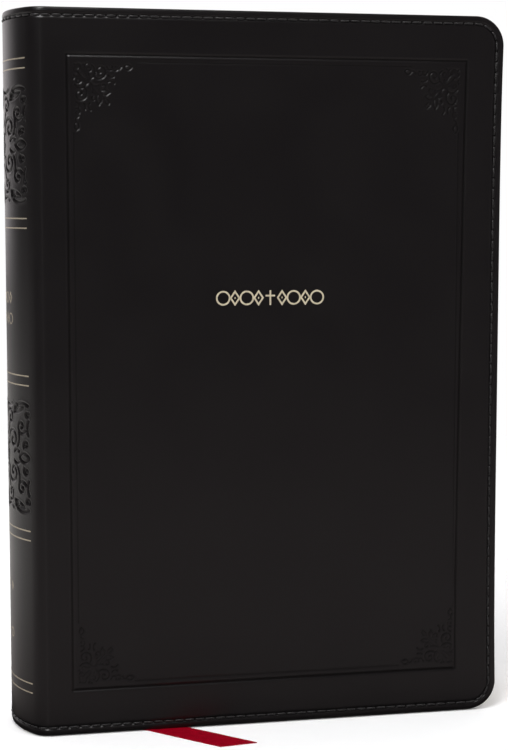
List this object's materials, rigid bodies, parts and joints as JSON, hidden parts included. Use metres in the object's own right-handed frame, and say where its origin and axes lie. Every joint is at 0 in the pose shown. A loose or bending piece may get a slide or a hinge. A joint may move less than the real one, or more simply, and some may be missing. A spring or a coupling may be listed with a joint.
{
  "type": "bible",
  "caption": "Thick bound bible in a soft stitched cover with a rounded spine, standing on its foot edge; covers and leaves open, ribbon marker swings.",
  "frame": {"origin": "foot of the spine, on the middle plane of the book, at the spine's outer surface", "axes": "+X from the spine to the fore edge, +Y from the front cover to the back cover, +Z from the foot to the head"},
  "size_m": [0.1641, 0.0662, 0.2366],
  "materials": {
    "leather": "soft imitation leather, fine grain, low sheen",
    "board": "pressed pulp board, matte",
    "liner": "smooth matte liner",
    "thread": "twisted black thread",
    "linen": "linen sewing thread",
    "mull": "open gauze",
    "kraft": "kraft paper",
    "inlay": "thin spine card",
    "paper": "thin paper with gilt edges",
    "endpaper": "heavier endpaper",
    "band": "woven silk cord",
    "ribbon": "red satin ribbon"
  },
  "bodies": {
    "binding": {"spine_leather": "leather", "spine_stitching_foot": "thread", "spine_stitching_head": "thread", "spine_inlay": "inlay", "spine_lining": "kraft", "mull": "mull", "sewing_thread": "linen", "head_band": "band", "foot_band": "band", "bound_gutter": "paper", "ribbon_marker": "ribbon"},
    "front_cover": {"front_cover_leather": "leather", "front_board": "board", "front_liner": "liner", "front_stitching": "thread"},
    "back_cover": {"back_cover_leather": "leather", "back_board": "board", "back_liner": "liner", "back_stitching": "thread"},
    "front_endleaf": {"front_flyleaf": "endpaper"},
    "back_endleaf": {"back_flyleaf": "endpaper"},
    "marker_tail": {"ribbon_tail": "ribbon"},
    "section_01": {"pages_01": "paper"},
    "section_02": {"pages_02": "paper"},
    "section_03": {"pages_03": "paper"},
    "section_04": {"pages_04": "paper"},
    "section_05": {"pages_05": "paper"},
    "section_06": {"pages_06": "paper"},
    "section_07": {"pages_07": "paper"},
    "section_08": {"pages_08": "paper"},
    "section_09": {"pages_09": "paper"},
    "section_10": {"pages_10": "paper"},
    "section_11": {"pages_11": "paper"},
    "section_12": {"pages_12": "paper"}
  },
  "joints": [
    {"name": "front_cover_open", "type": "hinge", "parent": "binding", "child": "front_cover", "pos_m": [0.011, -0.0223, 0.118], "axis": [0, 0, -1], "range_deg": [0, 178]},
    {"name": "back_cover_open", "type": "hinge", "parent": "binding", "child": "back_cover", "pos_m": [0.011, 0.0223, 0.118], "axis": [0, 0, 1], "range_deg": [0, 178]},
    {"name": "ribbon_swing", "type": "hinge", "parent": "binding", "child": "marker_tail", "pos_m": [0.0301, 0, 0], "axis": [0, 0, 1], "range_deg": [-40, 40]},
    {"name": "front_endleaf_turn", "type": "hinge", "parent": "binding", "child": "front_endleaf", "pos_m": [0.0145, -0.0185, 0.118], "axis": [0, 0, -1], "range_deg": [0, 109.01]},
    {"name": "section_01_turn", "type": "hinge", "parent": "binding", "child": "section_01", "pos_m": [0.019, -0.01654, 0.118], "axis": [0, 0, -1], "range_deg": [0, 99.01]},
    {"name": "section_02_turn", "type": "hinge", "parent": "binding", "child": "section_02", "pos_m": [0.0222, -0.01361, 0.118], "axis": [0, 0, -1], "range_deg": [0, 82.51]},
    {"name": "section_03_turn", "type": "hinge", "parent": "binding", "child": "section_03", "pos_m": [0.0254, -0.01069, 0.118], "axis": [0, 0, -1], "range_deg": [0, 66.01]},
    {"name": "section_04_turn", "type": "hinge", "parent": "binding", "child": "section_04", "pos_m": [0.0286, -0.00776, 0.118], "axis": [0, 0, -1], "range_deg": [0, 49.51]},
    {"name": "section_05_turn", "type": "hinge", "parent": "binding", "child": "section_05", "pos_m": [0.0318, -0.00484, 0.118], "axis": [0, 0, -1], "range_deg": [0, 33.01]},
    {"name": "section_06_turn", "type": "hinge", "parent": "binding", "child": "section_06", "pos_m": [0.035, -0.00191, 0.118], "axis": [0, 0, -1], "range_deg": [0, 16.51]},
    {"name": "back_endleaf_turn", "type": "hinge", "parent": "binding", "child": "back_endleaf", "pos_m": [0.0145, 0.0185, 0.118], "axis": [0, 0, 1], "range_deg": [0, 109.01]},
    {"name": "section_12_turn", "type": "hinge", "parent": "binding", "child": "section_12", "pos_m": [0.019, 0.01654, 0.118], "axis": [0, 0, 1], "range_deg": [0, 99.01]},
    {"name": "section_11_turn", "type": "hinge", "parent": "binding", "child": "section_11", "pos_m": [0.0222, 0.01361, 0.118], "axis": [0, 0, 1], "range_deg": [0, 82.51]},
    {"name": "section_10_turn", "type": "hinge", "parent": "binding", "child": "section_10", "pos_m": [0.0254, 0.01069, 0.118], "axis": [0, 0, 1], "range_deg": [0, 66.01]},
    {"name": "section_09_turn", "type": "hinge", "parent": "binding", "child": "section_09", "pos_m": [0.0286, 0.00776, 0.118], "axis": [0, 0, 1], "range_deg": [0, 49.51]},
    {"name": "section_08_turn", "type": "hinge", "parent": "binding", "child": "section_08", "pos_m": [0.0318, 0.00484, 0.118], "axis": [0, 0, 1], "range_deg": [0, 33.01]},
    {"name": "section_07_turn", "type": "hinge", "parent": "binding", "child": "section_07", "pos_m": [0.035, 0.00191, 0.118], "axis": [0, 0, 1], "range_deg": [0, 16.51]}
  ],
  "couplings": [
    {"joint": "front_endleaf_turn", "follows": "front_cover_open", "ratio": 0.61236},
    {"joint": "section_01_turn", "follows": "front_cover_open", "ratio": 0.55618},
    {"joint": "section_02_turn", "follows": "front_cover_open", "ratio": 0.46348},
    {"joint": "section_03_turn", "follows": "front_cover_open", "ratio": 0.37079},
    {"joint": "section_04_turn", "follows": "front_cover_open", "ratio": 0.27809},
    {"joint": "section_05_turn", "follows": "front_cover_open", "ratio": 0.18539},
    {"joint": "section_06_turn", "follows": "front_cover_open", "ratio": 0.092697},
    {"joint": "back_endleaf_turn", "follows": "back_cover_open", "ratio": 0.61236},
    {"joint": "section_12_turn", "follows": "back_cover_open", "ratio": 0.55618},
    {"joint": "section_11_turn", "follows": "back_cover_open", "ratio": 0.46348},
    {"joint": "section_10_turn", "follows": "back_cover_open", "ratio": 0.37079},
    {"joint": "section_09_turn", "follows": "back_cover_open", "ratio": 0.27809},
    {"joint": "section_08_turn", "follows": "back_cover_open", "ratio": 0.18539},
    {"joint": "section_07_turn", "follows": "back_cover_open", "ratio": 0.092697}
  ]
}
